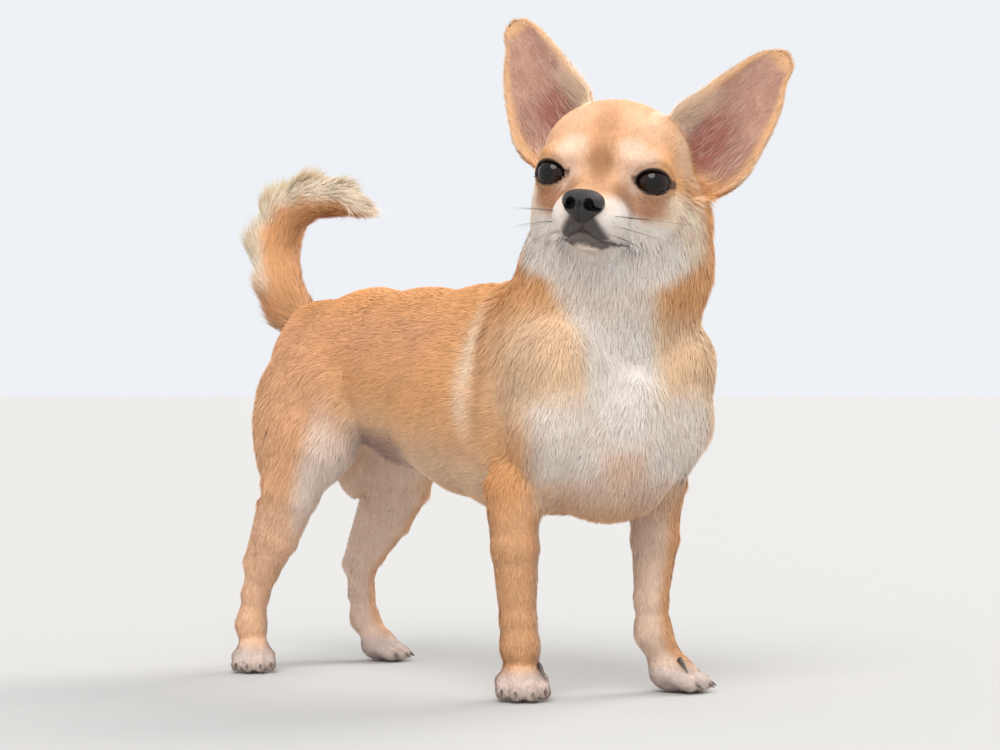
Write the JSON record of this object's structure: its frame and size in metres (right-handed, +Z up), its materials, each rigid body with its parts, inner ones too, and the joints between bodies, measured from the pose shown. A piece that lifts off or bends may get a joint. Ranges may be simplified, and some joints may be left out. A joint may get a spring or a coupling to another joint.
{
  "type": "chihuahua model",
  "caption": "Life-size still model of a short-haired chihuahua standing on four paws with its head turned to its right and its tail curled up.",
  "frame": {"origin": "on the floor under the middle of the whole body's box", "axes": "+Z up; the dog's chest and nose end faces -Y and its left side is +X"},
  "size_m": [0.121, 0.3264, 0.3286],
  "materials": {
    "coat": "short fawn coat",
    "pale_coat": "short cream coat",
    "ear_coat": "thin-haired ear",
    "eye": "wet and glossy",
    "nose_leather": "moist pebbled skin",
    "claw": "dark horn, satin"
  },
  "bodies": {
    "root": {"head": "coat", "nose": "nose_leather", "ear_right": "ear_coat", "eye_right": "eye", "ear_left": "ear_coat", "eye_left": "eye", "neck": "coat", "torso": "coat", "tail_root": "coat", "tail_middle": "coat", "tail_tip": "coat", "shoulder_right": "coat", "foreleg_right": "coat", "thigh_right": "coat", "shank_right": "coat", "pastern_right": "coat", "front_paw_right": "pale_coat", "dewclaw_right": "claw", "front_claw_right_1": "claw", "front_claw_right_2": "claw", "front_claw_right_3": "claw", "front_claw_right_4": "claw", "hind_paw_right": "pale_coat", "hind_claw_right_1": "claw", "hind_claw_right_2": "claw", "hind_claw_right_3": "claw", "hind_claw_right_4": "claw", "shoulder_left": "coat", "foreleg_left": "coat", "thigh_left": "coat", "shank_left": "coat", "pastern_left": "coat", "front_paw_left": "pale_coat", "dewclaw_left": "claw", "front_claw_left_1": "claw", "front_claw_left_2": "claw", "front_claw_left_3": "claw", "front_claw_left_4": "claw", "hind_paw_left": "pale_coat", "hind_claw_left_1": "claw", "hind_claw_left_2": "claw", "hind_claw_left_3": "claw", "hind_claw_left_4": "claw"}
  },
  "joints": []
}
